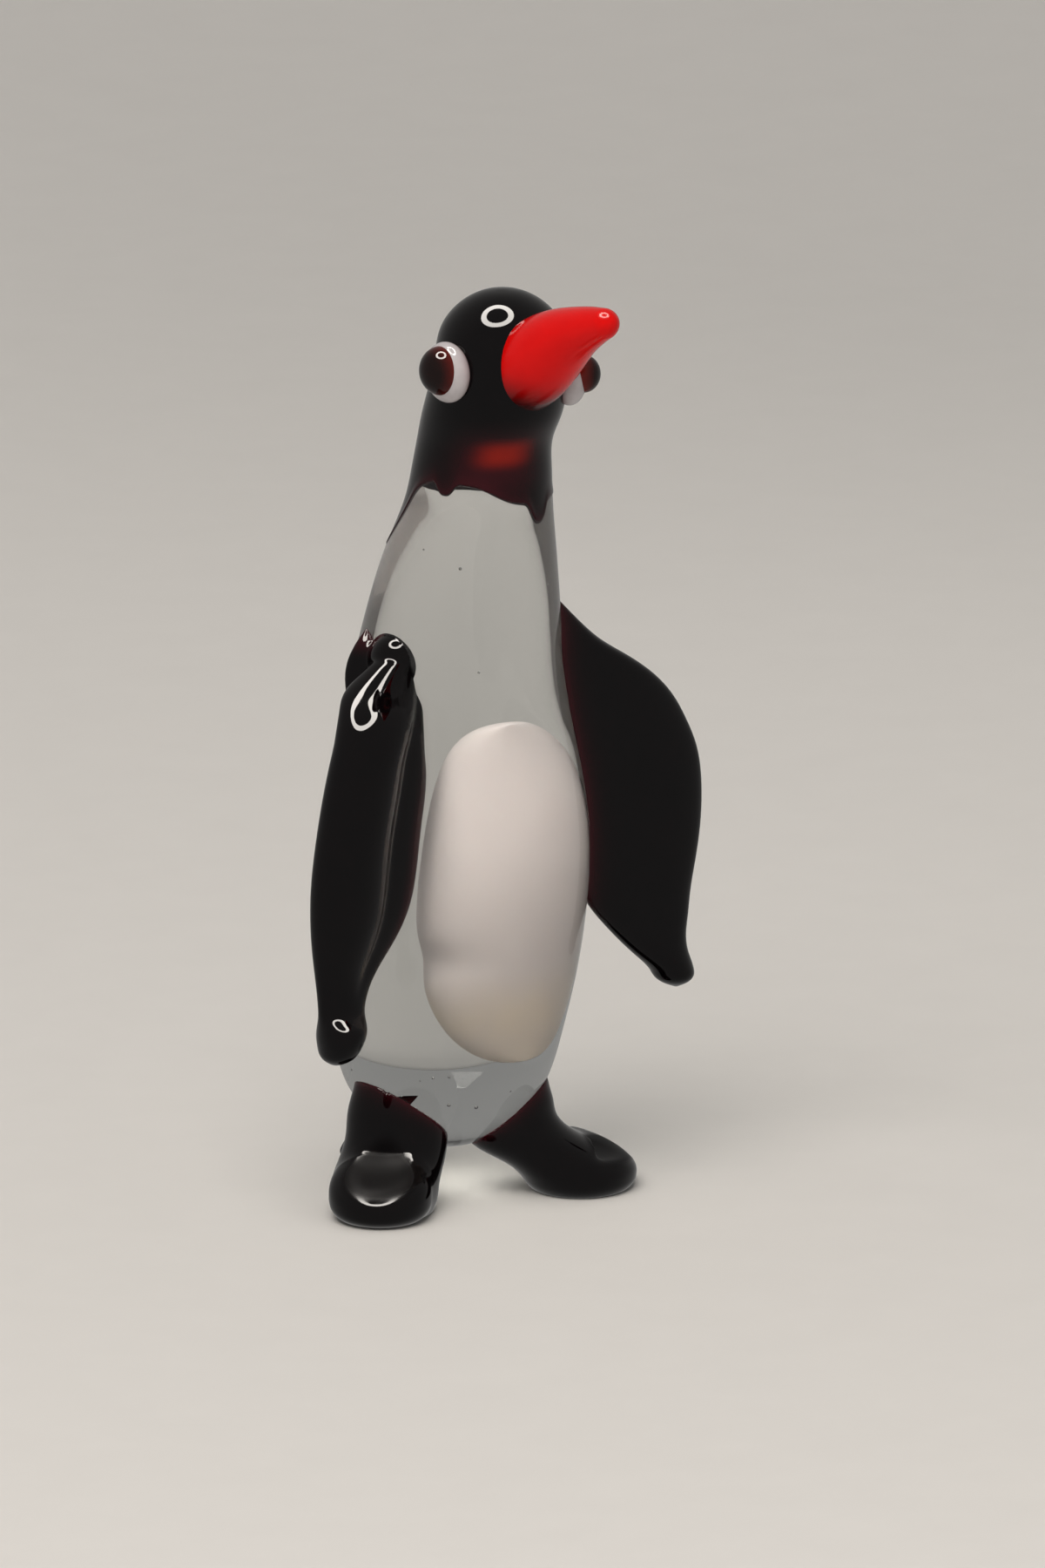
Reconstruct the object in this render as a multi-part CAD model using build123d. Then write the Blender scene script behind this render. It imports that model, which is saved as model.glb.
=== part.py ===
"""A flame-worked glass penguin: thirteen gathers of soft glass, each fused to what carries it.

The figure stands on the floor at z = 0 and faces -Y, so its right side is -X.
Every gather is a loft through ovals, and each one is cut by the gather that it was melted onto.
"""

from build123d import *
from math import asin, cos, radians, sin
import os

# Driving sizes of the body, in millimetres

crown_height = 69.95
tip_lift = 3.2
head_radius = 5.0
neck_radius = 5.1
belly_radius = 9.8
head_reach = 6.1
neck_reach = 3.6
hood_wall = 1.1
cut_overrun = 4.0

# White gather cased inside the belly

core_height = 26.2
core_middle_height = 24.3
core_aside = 0.4
core_half_width = 6.6
core_half_depth = 4.2
core_casing = 0.75

# Rim of the hood, drawn on a plane that is turned towards the penguin's right

rim_turn = 37.0
rim_height = 56.0
rim_fall = 5.6

# Beak

beak_length = 13.8
beak_radius = 3.05
beak_start_slope = 46.0
beak_end_slope = 15.0
beak_inset = 3.1
beak_drop = 1.8

# Eyes

right_eye_turn = 87.0
left_eye_turn = 55.0
right_eye_drop = 0.45
left_eye_drop = 1.95
right_white_radius = 2.18
left_white_radius = 1.75
white_half_depth = 1.3
white_standoff = 0.33
right_pupil_radius = 1.42
left_pupil_radius = 1.2
right_pupil_standoff = 0.76
left_pupil_standoff = 1.1
pupil_raise = 0.45

# Right wing, which stands out to the side and bows outwards below the shoulder

right_wing_top = 44.5
right_wing_length = 31.4
right_wing_chord = 8.8
right_wing_thickness = 4.6
right_wing_shoulder = 7.6
right_wing_splay = 7.8
right_wing_forward = 5.8
right_wing_turn = 3.0
right_wing_tip_radius = 1.75

# Left wing, which stands out to the side

left_wing_top = 44.9
left_wing_length = 30.4
left_wing_chord = 12.0
left_wing_thickness = 2.2
left_wing_shoulder = 6.1
left_wing_spread = 9.4
left_wing_forward = 6.8
left_wing_turn = -8.0
left_wing_tip_radius = 1.65

# Legs and feet

foot_thickness = 2.4
dish_depth = 0.35
leg_height = 9.0
right_foot_out = 9.33
right_foot_forward = 3.5
right_foot_splay = 43.0
right_pad_length = 8.2
right_pad_width = 7.7
right_leg_length = 6.4
right_leg_width = 7.3
left_foot_out = 8.2
left_foot_forward = 4.9
left_foot_splay = 50.0
left_pad_length = 8.2
left_pad_width = 9.4
left_leg_length = 8.6
left_leg_width = 6.4

# Tail, the third point that the figure stands on

tail_height = 8.6
tail_reach = 11.0
tail_aside = 0.5
tail_width = 5.6
tail_thickness = 3.0

head_height = crown_height - head_radius
head_centre = Vector(0, -head_reach, head_height)

# Height share from tip to head centre, radius share of the belly, reach share of the head
belly_shares = [
    (0.000, 0.05, -0.09),
    (0.009, 0.25, -0.11),
    (0.030, 0.49, -0.13),
    (0.078, 0.75, -0.15),
    (0.145, 0.87, -0.10),
    (0.215, 0.94, -0.02),
    (0.295, 0.99, 0.05),
    (0.375, 1.00, 0.105),
    (0.460, 0.965, 0.09),
    (0.550, 0.865, 0.09),
    (0.640, 0.765, 0.17),
    (0.700, 0.705, 0.265),
    (0.760, 0.632, 0.39),
]
# The same, with the radius as a share of the neck
neck_shares = [
    (0.818, 1.066, 0.533),
    (0.855, 1.015, 0.587),
    (0.894, 0.985, 0.660),
    (0.923, 1.015, 0.785),
    (0.962, 1.004, 0.920),
]
# Where the clear rod that fills the hood starts, as a height share inside the belly
rod_start_share = 0.46
# Angles from the equator of the head up to the crown
crown_angles = [0.0, 24.0, 45.0, 63.0, 77.0, 87.0]
# Angles from the middle of the white gather to its ends
core_angles = [-87.0, -70.0, -50.0, -25.0, 0.0, 25.0, 50.0, 70.0, 87.0]


def oval(centre, half_long, half_wide, turn=0.0):
    """A level oval wire, whose long axis is turned from +X about the vertical."""
    plane = Plane(origin=centre, x_dir=(cos(radians(turn)), sin(radians(turn)), 0), z_dir=(0, 0, 1))
    if abs(half_long - half_wide) < half_wide * 1e-6:
        return Wire.make_circle(half_long, plane)
    return Wire.make_ellipse(half_long, half_wide, plane)


def between(shares, column, height_share):
    """The value of a column of a table at a height between two of its rows."""
    lower = [row for row in shares if row[0] <= height_share][-1]
    upper = [row for row in shares if row[0] > height_share][0]
    part = (height_share - lower[0]) / (upper[0] - lower[0])
    return lower[column] + (upper[column] - lower[column]) * part


def body_form(inset, lowest_share):
    """The outer form of belly, neck and head, drawn in by an inset."""
    rows = []
    span = head_height - tip_lift
    for table, radius in ((belly_shares, belly_radius), (neck_shares, neck_radius)):
        for height_share, radius_share, reach_share in table:
            if height_share >= lowest_share:
                centre = (0, -head_reach * reach_share, tip_lift + span * height_share)
                rows.append(oval(centre, radius * radius_share - inset, radius * radius_share - inset))
    dome = head_radius - inset
    for angle in crown_angles:
        lift = Vector(0, 0, dome * sin(radians(angle)))
        width = dome * cos(radians(angle))
        rows.append(oval(head_centre + lift, width, width))
    return Solid.make_loft(rows)


def hood_space():
    """All that lies above the hood's rim: a wavy line with two blunt drips and a long thin one."""
    # Across share of the neck radius, fall share of the rim
    rim_shares = [
        (-1.60, -1.25),
        (-1.36, -1.12),
        (-1.23, -0.89),
        (-1.08, -0.59),
        (-0.93, -0.30),
        (-0.80, -0.05),
        (-0.66, 0.00),
        (-0.56, -0.20),
        (-0.47, -0.21),
        (-0.38, 0.01),
        (0.00, -0.06),
        (0.38, -0.24),
        (0.60, -0.31),
        (0.74, -0.60),
        (0.90, -0.62),
        (1.02, -0.36),
        (1.60, -0.34),
    ]
    across = Vector(cos(radians(rim_turn)), -sin(radians(rim_turn)), 0)
    plane = Plane(origin=(0, -neck_reach, 0), x_dir=across, z_dir=across.cross(Vector(0, 0, 1)))
    points = [(neck_radius * side, rim_height + rim_fall * drop) for side, drop in rim_shares]
    top = crown_height + cut_overrun
    closing = Polyline([points[-1], (points[-1][0], top), (points[0][0], top), points[0]])
    face = make_face(plane * Curve([Spline(points), closing]))
    return extrude(face, amount=belly_radius + cut_overrun, both=True)


def ellipsoid(centre, axis, radius, depth):
    """A flattened ball, whose short axis points along the given direction."""
    ball = scale(Sphere(1), by=(radius, radius, depth))
    return Plane(origin=centre, z_dir=axis) * ball


def make_core():
    """The white gather: an upright bean, close under the front of the belly from end to end."""
    fullness_share = 0.85
    rows = []
    for angle in core_angles:
        size_share = cos(radians(angle)) ** fullness_share
        height = core_middle_height + core_height / 2 * sin(radians(angle))
        height_share = (height - tip_lift) / (head_height - tip_lift)
        front = belly_radius * between(belly_shares, 1, height_share)
        front = front + head_reach * between(belly_shares, 2, height_share) - core_casing
        half_depth = core_half_depth * size_share
        centre = (core_aside, half_depth - front, height)
        rows.append(oval(centre, core_half_width * size_share, half_depth))
    return Solid.make_loft(rows)


def make_beak(seat):
    """A horn on an upward arc that flattens towards its rounded tip."""
    radius_shares = [
        (0.00, 0.90),
        (0.16, 1.00),
        (0.32, 0.98),
        (0.50, 0.85),
        (0.68, 0.66),
        (0.84, 0.48),
        (0.94, 0.35),
        (0.98, 0.25),
        (1.00, 0.06),
    ]
    first = radians(beak_start_slope)
    last = radians(beak_end_slope)
    arc_radius = beak_length / (first - last)
    start = head_centre + Vector(0, -head_radius + beak_inset, -beak_drop)
    rows = []
    for along_share, radius_share in radius_shares:
        slope = first + (last - first) * along_share
        ahead = arc_radius * (sin(first) - sin(slope))
        rise = arc_radius * (cos(slope) - cos(first))
        tangent = (0, -cos(slope), sin(slope))
        plane = Plane(origin=start + Vector(0, -ahead, rise), x_dir=(1, 0, 0), z_dir=tangent)
        rows.append(Wire.make_circle(beak_radius * radius_share, plane))
    return Solid.make_loft(rows) - seat


def make_eye(seat, turn, drop, white_radius, pupil_radius, pupil_standoff):
    """A white bead melted onto the head, and the dark bead on it."""
    direction = Vector(-sin(radians(turn)), -cos(radians(turn)), 0)
    surface_radius = head_radius * cos(asin(drop / head_radius))
    middle = head_centre + direction * (surface_radius + white_standoff) - Vector(0, 0, drop)
    bead = ellipsoid(middle, direction, white_radius, white_half_depth)
    ball_centre = middle + direction * pupil_standoff + Vector(0, 0, pupil_raise)
    ball = ellipsoid(ball_centre, direction, pupil_radius, pupil_radius)
    return bead - seat, ball - bead - seat


def make_right_wing(seat):
    """A thick leaf that bows out from the shoulder and ends in a ball."""
    # Drop share, outward share, forward share, chord share and thickness share
    rows_shares = [
        (0.000, 0.00, 0.35, 0.10, 0.13),
        (0.016, 0.03, 0.41, 0.43, 0.52),
        (0.052, 0.11, 0.52, 0.63, 0.74),
        (0.102, 0.25, 0.68, 0.76, 0.88),
        (0.206, 0.41, 0.89, 0.89, 0.96),
        (0.310, 0.50, 0.97, 0.96, 1.00),
        (0.456, 0.60, 1.00, 1.00, 0.98),
        (0.573, 0.66, 1.00, 1.00, 0.93),
        (0.654, 0.71, 1.00, 0.92, 0.87),
        (0.737, 0.78, 0.98, 0.71, 0.79),
        (0.815, 0.86, 0.95, 0.51, 0.74),
    ]
    # The ball at the tip, with its size as a share of the tip radius
    tip_shares = [
        (0.879, 0.91, 0.94, 1.11, 0.94),
        (0.944, 0.97, 0.91, 1.00, 1.00),
        (0.982, 0.99, 0.90, 0.70, 0.72),
        (1.000, 1.00, 0.90, 0.12, 0.14),
    ]
    rows = []
    half_sizes = ((rows_shares, right_wing_chord / 2, right_wing_thickness / 2),
                  (tip_shares, right_wing_tip_radius, right_wing_tip_radius))
    for table, half_chord, half_thickness in half_sizes:
        for drop, out, forward, chord, thickness in table:
            centre = (-right_wing_shoulder - right_wing_splay * out,
                      -right_wing_forward * forward,
                      right_wing_top - right_wing_length * drop)
            rows.append(oval(centre, half_chord * chord, half_thickness * thickness, right_wing_turn))
    return Solid.make_loft(rows) - seat


def make_left_wing(seat):
    """A flat paddle that stands out sideways and ends in a ball."""
    rows_shares = [
        (0.000, 0.00, 0.64, 0.08, 0.30),
        (0.055, 0.02, 0.74, 0.27, 0.80),
        (0.100, 0.08, 0.81, 0.41, 1.00),
        (0.142, 0.18, 0.85, 0.57, 1.00),
        (0.195, 0.31, 0.88, 0.73, 1.00),
        (0.255, 0.41, 0.90, 0.86, 1.00),
        (0.320, 0.485, 0.91, 0.94, 1.00),
        (0.395, 0.55, 0.92, 1.00, 1.00),
        (0.485, 0.595, 0.93, 1.00, 1.00),
        (0.590, 0.63, 0.94, 0.93, 1.00),
        (0.680, 0.64, 0.95, 0.84, 1.00),
        (0.755, 0.66, 0.96, 0.73, 1.00),
        (0.820, 0.73, 0.97, 0.58, 1.00),
        (0.865, 0.79, 0.98, 0.46, 1.05),
    ]
    tip_shares = [
        (0.912, 0.885, 0.99, 1.27, 0.86),
        (0.955, 0.97, 1.00, 1.00, 1.00),
        (0.988, 1.00, 1.00, 0.58, 0.62),
        (1.000, 1.01, 1.00, 0.12, 0.14),
    ]
    rows = []
    half_sizes = ((rows_shares, left_wing_chord / 2, left_wing_thickness / 2),
                  (tip_shares, left_wing_tip_radius, left_wing_tip_radius))
    for table, half_chord, half_thickness in half_sizes:
        for drop, out, forward, chord, thickness in table:
            centre = (left_wing_shoulder + left_wing_spread * out,
                      -left_wing_forward * forward,
                      left_wing_top - left_wing_length * drop)
            rows.append(oval(centre, half_chord * chord, half_thickness * thickness, left_wing_turn))
    return Solid.make_loft(rows) - seat


def make_foot(seat, pad_centre, turn, pad_length, pad_width, leg_length, leg_width, leg_shares):
    """A leg and a pressed foot in one gather, with a flat sole and a shallow dish in its top."""
    # Height share and size share of the pad
    pad_shares = [(0.00, 0.86), (0.16, 0.96), (0.50, 1.00), (0.84, 0.95), (1.00, 0.84)]
    dish_share = 0.66
    toe = Vector(cos(radians(turn)), sin(radians(turn)), 0)
    side = Vector(-toe.Y, toe.X, 0)
    pad_rows = []
    for height_share, size_share in pad_shares:
        centre = pad_centre + Vector(0, 0, foot_thickness * height_share)
        pad_rows.append(oval(centre, pad_length / 2 * size_share, pad_width / 2 * size_share, turn))
    leg_rows = []
    for height_share, along_share, side_share, length_share, width_share in leg_shares:
        centre = pad_centre + Vector(0, 0, leg_height * height_share)
        centre = centre + toe * (pad_length * along_share) + side * (pad_width * side_share)
        half_length = leg_length / 2 * length_share
        leg_rows.append(oval(centre, half_length, leg_width / 2 * width_share, turn))
    dish = scale(Sphere(1), by=(pad_length / 2 * dish_share, pad_width / 2 * dish_share, dish_depth))
    dish = Plane(origin=pad_centre + Vector(0, 0, foot_thickness), x_dir=toe, z_dir=(0, 0, 1)) * dish
    pad = Solid.make_loft(pad_rows) - dish
    return pad + Solid.make_loft(leg_rows) - seat


def make_tail(seat):
    """A short blunt gather from the back of the body down to the floor."""
    # Height share, reach share, thickness share and width share
    rows_shares = [
        (1.00, 0.50, 0.90, 0.80),
        (0.75, 0.68, 1.05, 0.94),
        (0.42, 0.86, 1.00, 1.00),
        (0.18, 0.95, 0.92, 0.98),
        (0.00, 1.00, 0.72, 0.84),
    ]
    rows = []
    for height, reach, thickness, width in rows_shares:
        centre = (tail_aside, tail_reach * reach, tail_height * height)
        rows.append(oval(centre, tail_width / 2 * width, tail_thickness / 2 * thickness))
    return Solid.make_loft(rows) - seat


def main():
    """Make the thirteen gathers, put the origin under the middle of the figure and write them."""
    form = body_form(0, 0)
    rod = body_form(hood_wall, rod_start_share)
    cap = hood_space()
    core = make_core()

    # Height share, along share and side share of the pad, length share, width share
    right_leg_shares = [
        (1.067, -0.660, 0.100, 0.50, 0.56),
        (0.978, -0.620, 0.080, 0.78, 0.86),
        (0.778, -0.573, 0.082, 0.91, 0.98),
        (0.556, -0.524, 0.095, 0.97, 1.04),
        (0.400, -0.463, 0.070, 1.00, 1.03),
        (0.244, -0.378, 0.026, 1.00, 0.99),
        (0.111, -0.330, 0.020, 0.94, 0.94),
        (0.000, -0.317, 0.013, 0.84, 0.88),
    ]
    left_leg_shares = [
        (1.044, -0.600, -0.106, 0.35, 0.50),
        (0.944, -0.610, -0.138, 0.60, 0.78),
        (0.778, -0.634, -0.149, 0.74, 0.91),
        (0.611, -0.646, -0.160, 0.826, 0.97),
        (0.467, -0.530, -0.160, 0.99, 1.00),
        (0.356, -0.360, -0.149, 1.07, 1.00),
        (0.244, -0.165, -0.117, 0.99, 1.03),
        (0.133, -0.061, -0.064, 0.84, 1.09),
        (0.000, -0.012, -0.011, 0.72, 1.03),
    ]
    white_right, pupil_right = make_eye(form, right_eye_turn, right_eye_drop, right_white_radius,
                                        right_pupil_radius, right_pupil_standoff)
    white_left, pupil_left = make_eye(form, -left_eye_turn, left_eye_drop, left_white_radius,
                                      left_pupil_radius, left_pupil_standoff)
    pieces = {
        "body_glass": form - cap + rod - core,
        "belly_core": core,
        "hood": (form & cap) - rod,
        "beak": make_beak(form),
        "eye_white_right": white_right,
        "eye_white_left": white_left,
        "pupil_right": pupil_right,
        "pupil_left": pupil_left,
        "wing_right": make_right_wing(form),
        "wing_left": make_left_wing(form),
        "foot_right": make_foot(form, Vector(-right_foot_out, -right_foot_forward, 0),
                                -90.0 - right_foot_splay, right_pad_length, right_pad_width,
                                right_leg_length, right_leg_width, right_leg_shares),
        "foot_left": make_foot(form, Vector(left_foot_out, -left_foot_forward, 0),
                               -90.0 + left_foot_splay, left_pad_length, left_pad_width,
                               left_leg_length, left_leg_width, left_leg_shares),
        "tail": make_tail(form),
    }
    box = Compound(list(pieces.values())).bounding_box()
    middle = Vector((box.min.X + box.max.X) / 2, (box.min.Y + box.max.Y) / 2, box.min.Z)
    print("middle of the figure from the body axis:", middle)
    os.makedirs("parts", exist_ok=True)
    for name, piece in pieces.items():
        export_step(Pos(-middle) * piece, f"parts/{name}.step")


main()
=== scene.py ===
# %% [markdown]
# # A flame-worked glass penguin
# The real figurine is a handful of soft-glass gathers, melted at a burner and fused while hot: a clear
# body with a white bean cased inside it, a black hood pulled over its head, and black wings, feet and
# tail. This lesson starts from the plain solids of the same pieces and dresses every one of them.

import bpy
import numpy as np
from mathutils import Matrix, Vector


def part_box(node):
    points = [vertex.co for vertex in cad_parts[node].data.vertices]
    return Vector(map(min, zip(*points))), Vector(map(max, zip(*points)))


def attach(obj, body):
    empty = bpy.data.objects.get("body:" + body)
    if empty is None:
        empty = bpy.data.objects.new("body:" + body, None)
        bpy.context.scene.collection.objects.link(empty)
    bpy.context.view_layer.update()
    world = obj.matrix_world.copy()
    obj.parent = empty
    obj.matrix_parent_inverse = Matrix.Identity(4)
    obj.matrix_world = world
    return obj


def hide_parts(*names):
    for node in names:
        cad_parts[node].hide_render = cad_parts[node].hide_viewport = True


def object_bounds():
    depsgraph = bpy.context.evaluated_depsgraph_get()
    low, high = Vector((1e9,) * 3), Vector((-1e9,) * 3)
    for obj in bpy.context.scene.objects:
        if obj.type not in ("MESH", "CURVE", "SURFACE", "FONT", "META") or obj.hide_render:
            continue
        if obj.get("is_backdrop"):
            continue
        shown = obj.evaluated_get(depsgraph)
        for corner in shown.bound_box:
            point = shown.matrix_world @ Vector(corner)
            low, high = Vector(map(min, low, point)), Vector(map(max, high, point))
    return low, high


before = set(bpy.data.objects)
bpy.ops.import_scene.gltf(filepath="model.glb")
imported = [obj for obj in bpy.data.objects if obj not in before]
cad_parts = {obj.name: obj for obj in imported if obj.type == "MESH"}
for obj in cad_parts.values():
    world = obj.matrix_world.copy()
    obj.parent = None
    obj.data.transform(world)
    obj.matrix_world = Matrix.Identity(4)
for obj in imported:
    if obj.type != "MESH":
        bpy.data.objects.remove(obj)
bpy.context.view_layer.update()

print("solids:", sorted(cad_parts))

# %% [markdown]
# ## Sizes and directions
# The lesson works in millimetres about the point on the floor under the body's axis, and turns them
# to metres only when a mesh is made. The penguin faces -Y, and the photograph was taken from 37 degrees
# round to its right. Angles round the figure are counted from that side, because that is how the drips
# and ridges were measured.

# %% Units, axis and the side that the photograph shows
MM = 0.001
crown_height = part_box("hood")[1].z / MM
# From the axis to the front of the belly
belly_front = 10.44
photo_turn = np.radians(37.0)

clear_low, clear_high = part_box("body_glass")
axis = np.array([(clear_low.x + clear_high.x) / 2 / MM, clear_low.y / MM + belly_front, 0.0])
nearward = np.array([-np.sin(photo_turn), -np.cos(photo_turn), 0.0])
rightward = np.array([np.cos(photo_turn), -np.sin(photo_turn), 0.0])
upward = np.array([0.0, 0.0, 1.0])
print("axis of the body in mm:", axis.round(3), "crown height:", round(crown_height, 2))

# %% [markdown]
# ## Smooth lines through a few points
# Hot glass has no corners, so every outline here is given by a few points, and a natural cubic runs
# through them. A cubic was chosen over straight runs because a glossy surface shows each kink.

# %% A natural cubic, and smooth meetings


def spline(knots, values, wanted):
    """The cubic through every knot that bends evenly across it and is straight at both ends."""
    knots = np.asarray(knots, float)
    values = np.asarray(values, float).reshape(len(knots), -1)
    gap = np.diff(knots)
    slope = np.diff(values, axis=0) / gap[:, None]
    inner = np.arange(1, len(knots) - 1)
    system = np.eye(len(knots))
    system[inner, inner - 1] = gap[:-1]
    system[inner, inner] = 2 * (gap[:-1] + gap[1:])
    system[inner, inner + 1] = gap[1:]
    right = np.zeros_like(values)
    right[1:-1] = 6 * np.diff(slope, axis=0)
    bend = np.linalg.solve(system, right)
    wanted = np.asarray(wanted, float)
    at = np.clip(np.searchsorted(knots, wanted) - 1, 0, len(knots) - 2)
    step = (wanted - knots[at])[..., None]
    width = gap[at][..., None]
    lean = slope[at] - width * (2 * bend[at] + bend[at + 1]) / 6
    bending = step**2 * bend[at] / 2 + step**3 * (bend[at + 1] - bend[at]) / (6 * width)
    return values[at] + step * lean + bending


def ease(value):
    """An even ramp from 0 to 1 with flat ends: three times the square less twice the cube."""
    value = np.clip(value, 0, 1)
    return value * value * (3 - 2 * value)


def melt(first, second, width):
    """The lower of two distances, rounded over a width where they are close, as fused glass is."""
    share = np.clip(0.5 + 0.5 * (second - first) / width, 0, 1)
    return second + (first - second) * share - width * share * (1 - share)


halfway = spline([0, 1, 2, 3], [0, 1, 4, 9], [1.5])[0, 0]
print("half way between 1 and 2 on a spline of squares:", halfway.round(3))

# %% [markdown]
# ## From arrays to meshes
# Each gather is a grid of points: rings that follow each other, with one point that closes each end.
# numpy works out all points at once and hands them to the mesh. The sign of the volume tells whether
# the faces point outwards, so a shell that came out inside out is turned there.

# %% Closed shells


def shell(rings, first_pole, last_pole, hollow=False):
    """Points and faces of a closed grid: four-sided faces between rings and a fan at each pole."""
    rows, around = rings.shape[:2]
    points = np.concatenate([rings.reshape(-1, 3), [first_pole, last_pole]])
    corner = np.arange(rows * around).reshape(rows, around)
    beside = np.roll(corner, -1, axis=1)
    quads = np.stack([corner[:-1], beside[:-1], beside[1:], corner[1:]], axis=-1).reshape(-1, 4)
    pole = np.full(around, rows * around)
    fans = np.concatenate([np.stack([beside[0], corner[0], pole], axis=-1),
                           np.stack([corner[-1], beside[-1], pole + 1], axis=-1)])
    halves = np.concatenate([quads[:, [0, 1, 2]], quads[:, [0, 2, 3]], fans])
    first, second, third = np.moveaxis(points[halves], 1, 0)
    inside_out = np.sum(first * np.cross(second, third)) < 0
    if inside_out != hollow:
        quads, fans = quads[:, ::-1], fans[:, ::-1]
    return points, quads, fans


def ball_rings(rows, around):
    """Directions over a ball: the sine and cosine of a falling angle times those of a turn."""
    fall = np.linspace(0, np.pi, rows + 2)[1:-1, None]
    turn = np.linspace(0, 2 * np.pi, around, endpoint=False)[None, :]
    level = np.sin(fall)
    return np.stack([level * np.cos(turn), level * np.sin(turn), np.cos(fall) + 0 * turn], axis=-1)


print("points on a small ball:", len(shell(ball_rings(8, 12), upward, -upward)[0]))

# %% Pieces


def joined(shells):
    """Shells laid one after the other: all their points, and faces that count on through them."""
    starts = np.cumsum([0] + [len(points) for points, _, _ in shells])
    faces = []
    for start, (_, quads, fans) in zip(starts, shells):
        faces += (quads + start).tolist() + (fans + start).tolist()
    return np.concatenate([points for points, _, _ in shells]), faces


def add_piece(name, shells, material, nodes, marks=None):
    """One glass gather: its shells in one mesh, in metres, with its marks as values on the points."""
    points, faces = joined(shells)
    mesh = bpy.data.meshes.new(name)
    mesh.from_pydata(((points + axis) * MM).tolist(), [], faces)
    mesh.shade_smooth()
    for mark_name, measure in (marks or {}).items():
        layer = mesh.attributes.new(mark_name, "FLOAT", "POINT")
        layer.data.foreach_set("value", np.clip(measure(points), 0, 1).astype(np.float32))
    mesh.materials.append(material)
    piece = bpy.data.objects.new(name, mesh)
    bpy.context.scene.collection.objects.link(piece)
    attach(piece, "root")
    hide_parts(*nodes)
    size = np.ptp(points, axis=0).round(1)
    print(f"{name}: {len(points)} points, {len(faces)} faces, {size} mm")
    return piece


print("pieces to make:", len(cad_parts))

# %% [markdown]
# ## Colours and nodes
# A colour is written as the hex value that the eye would pick from a picture, and one function turns
# it to the linear light that shaders need. One more function adds a node with its settings and links.
# Every glass here is a base colour with other colours over it where the mesh carries a mark, such as
# thin, or where a soft noise says so, so one function lays such layers on each other.

# %% Linear colour and nodes


def linear(hex_colour):
    """Linear light of an sRGB hex colour, by the two-part curve of the sRGB rule."""
    share = np.array([int(hex_colour[i:i + 2], 16) for i in (1, 3, 5)]) / 255
    light = np.where(share <= 0.04045, share / 12.92, ((share + 0.055) / 1.055) ** 2.4)
    return (*light.tolist(), 1.0)


def add(tree, kind, settings=None, links=None):
    """A node of a kind, with settings for its sockets or properties, and links from other sockets."""
    node = tree.nodes.new(kind)
    for key, value in (settings or {}).items():
        if isinstance(key, int) or key in node.inputs:
            node.inputs[key].default_value = value
        else:
            setattr(node, key, value)
    for key, source in (links or {}).items():
        tree.links.new(source, node.inputs[key])
    return node


print("mid grey in linear light:", round(linear("#808080")[0], 3))

# %% Materials, layers of colour and noise
# The sockets of a Mix node that mixes colours go by number
share_in, first_in, second_in, colour_out = 0, 6, 7, 2


def new_material(name):
    """An empty material, its tree and the node that the surface plugs into."""
    material = bpy.data.materials.new(name)
    material.use_nodes = True
    material.node_tree.nodes.clear()
    return material, material.node_tree, material.node_tree.nodes.new("ShaderNodeOutputMaterial")


def layered(tree, base, layers):
    """A base colour, and over it each layer's colour as far as its share: a socket or a mesh's mark."""
    colour = None
    for share, layer_colour in layers:
        if isinstance(share, str):
            share = add(tree, "ShaderNodeAttribute", {"attribute_name": share}).outputs["Fac"]
        settings = {"data_type": "RGBA", first_in: linear(base), second_in: linear(layer_colour)}
        links = {share_in: share} if colour is None else {share_in: share, first_in: colour}
        colour = add(tree, "ShaderNodeMix", settings, links).outputs[colour_out]
    return colour


def speckle(tree, grain, detail=2.0, stretch=(1, 1, 1)):
    """Soft noise in the piece's own coordinates, whose grain is a size in millimetres."""
    place = add(tree, "ShaderNodeTexCoord")
    scaled = add(tree, "ShaderNodeMapping", {"Scale": stretch}, {"Vector": place.outputs["Object"]})
    return add(tree, "ShaderNodeTexNoise", {"Scale": 1 / (grain * MM), "Detail": detail},
               {"Vector": scaled.outputs["Vector"]}).outputs["Fac"]


print("a grain of 2 mm is a noise scale of", round(1 / (2 * MM)), "per metre")

# %% [markdown]
# ## Clear soda-lime glass, flame polished
# The body is soft clear glass whose surface was melted smooth, so it is bright, bends what is behind it
# and shows faint upright cords where the gather was drawn down. Lamp rays pass straight through, or the
# white bean inside would sit in a black shadow that thick clear glass doesn't cast.

# %% Clear glass


def make_clear_glass():
    """Glass that bends light at 1.52, with drawn-out cords 2.5 mm apart as a very low relief."""
    material, tree, output = new_material("clear_soda_glass_flame_polished")
    cords = speckle(tree, 2.5, 1.0, (1, 1, 0.1))
    relief = add(tree, "ShaderNodeBump", {"Strength": 0.5, "Distance": 0.03 * MM}, {"Height": cords})
    glass = add(tree, "ShaderNodeBsdfPrincipled",
                {"Base Color": linear("#fbfcfb"), "Roughness": 0.0, "IOR": 1.52,
                 "Transmission Weight": 1.0},
                {"Normal": relief.outputs["Normal"]})
    way_through = add(tree, "ShaderNodeBsdfTransparent", {"Color": linear("#fbfcfb")})
    rays = add(tree, "ShaderNodeLightPath")
    either = add(tree, "ShaderNodeMixShader", None,
                 {0: rays.outputs["Is Shadow Ray"], 1: glass.outputs[0], 2: way_through.outputs[0]})
    tree.links.new(either.outputs[0], output.inputs["Surface"])
    smoke = add(tree, "ShaderNodeVolumeAbsorption", {"Color": linear("#8c908e"), "Density": 0.034 / MM})
    tree.links.new(smoke.outputs[0], output.inputs["Volume"])
    return material


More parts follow.
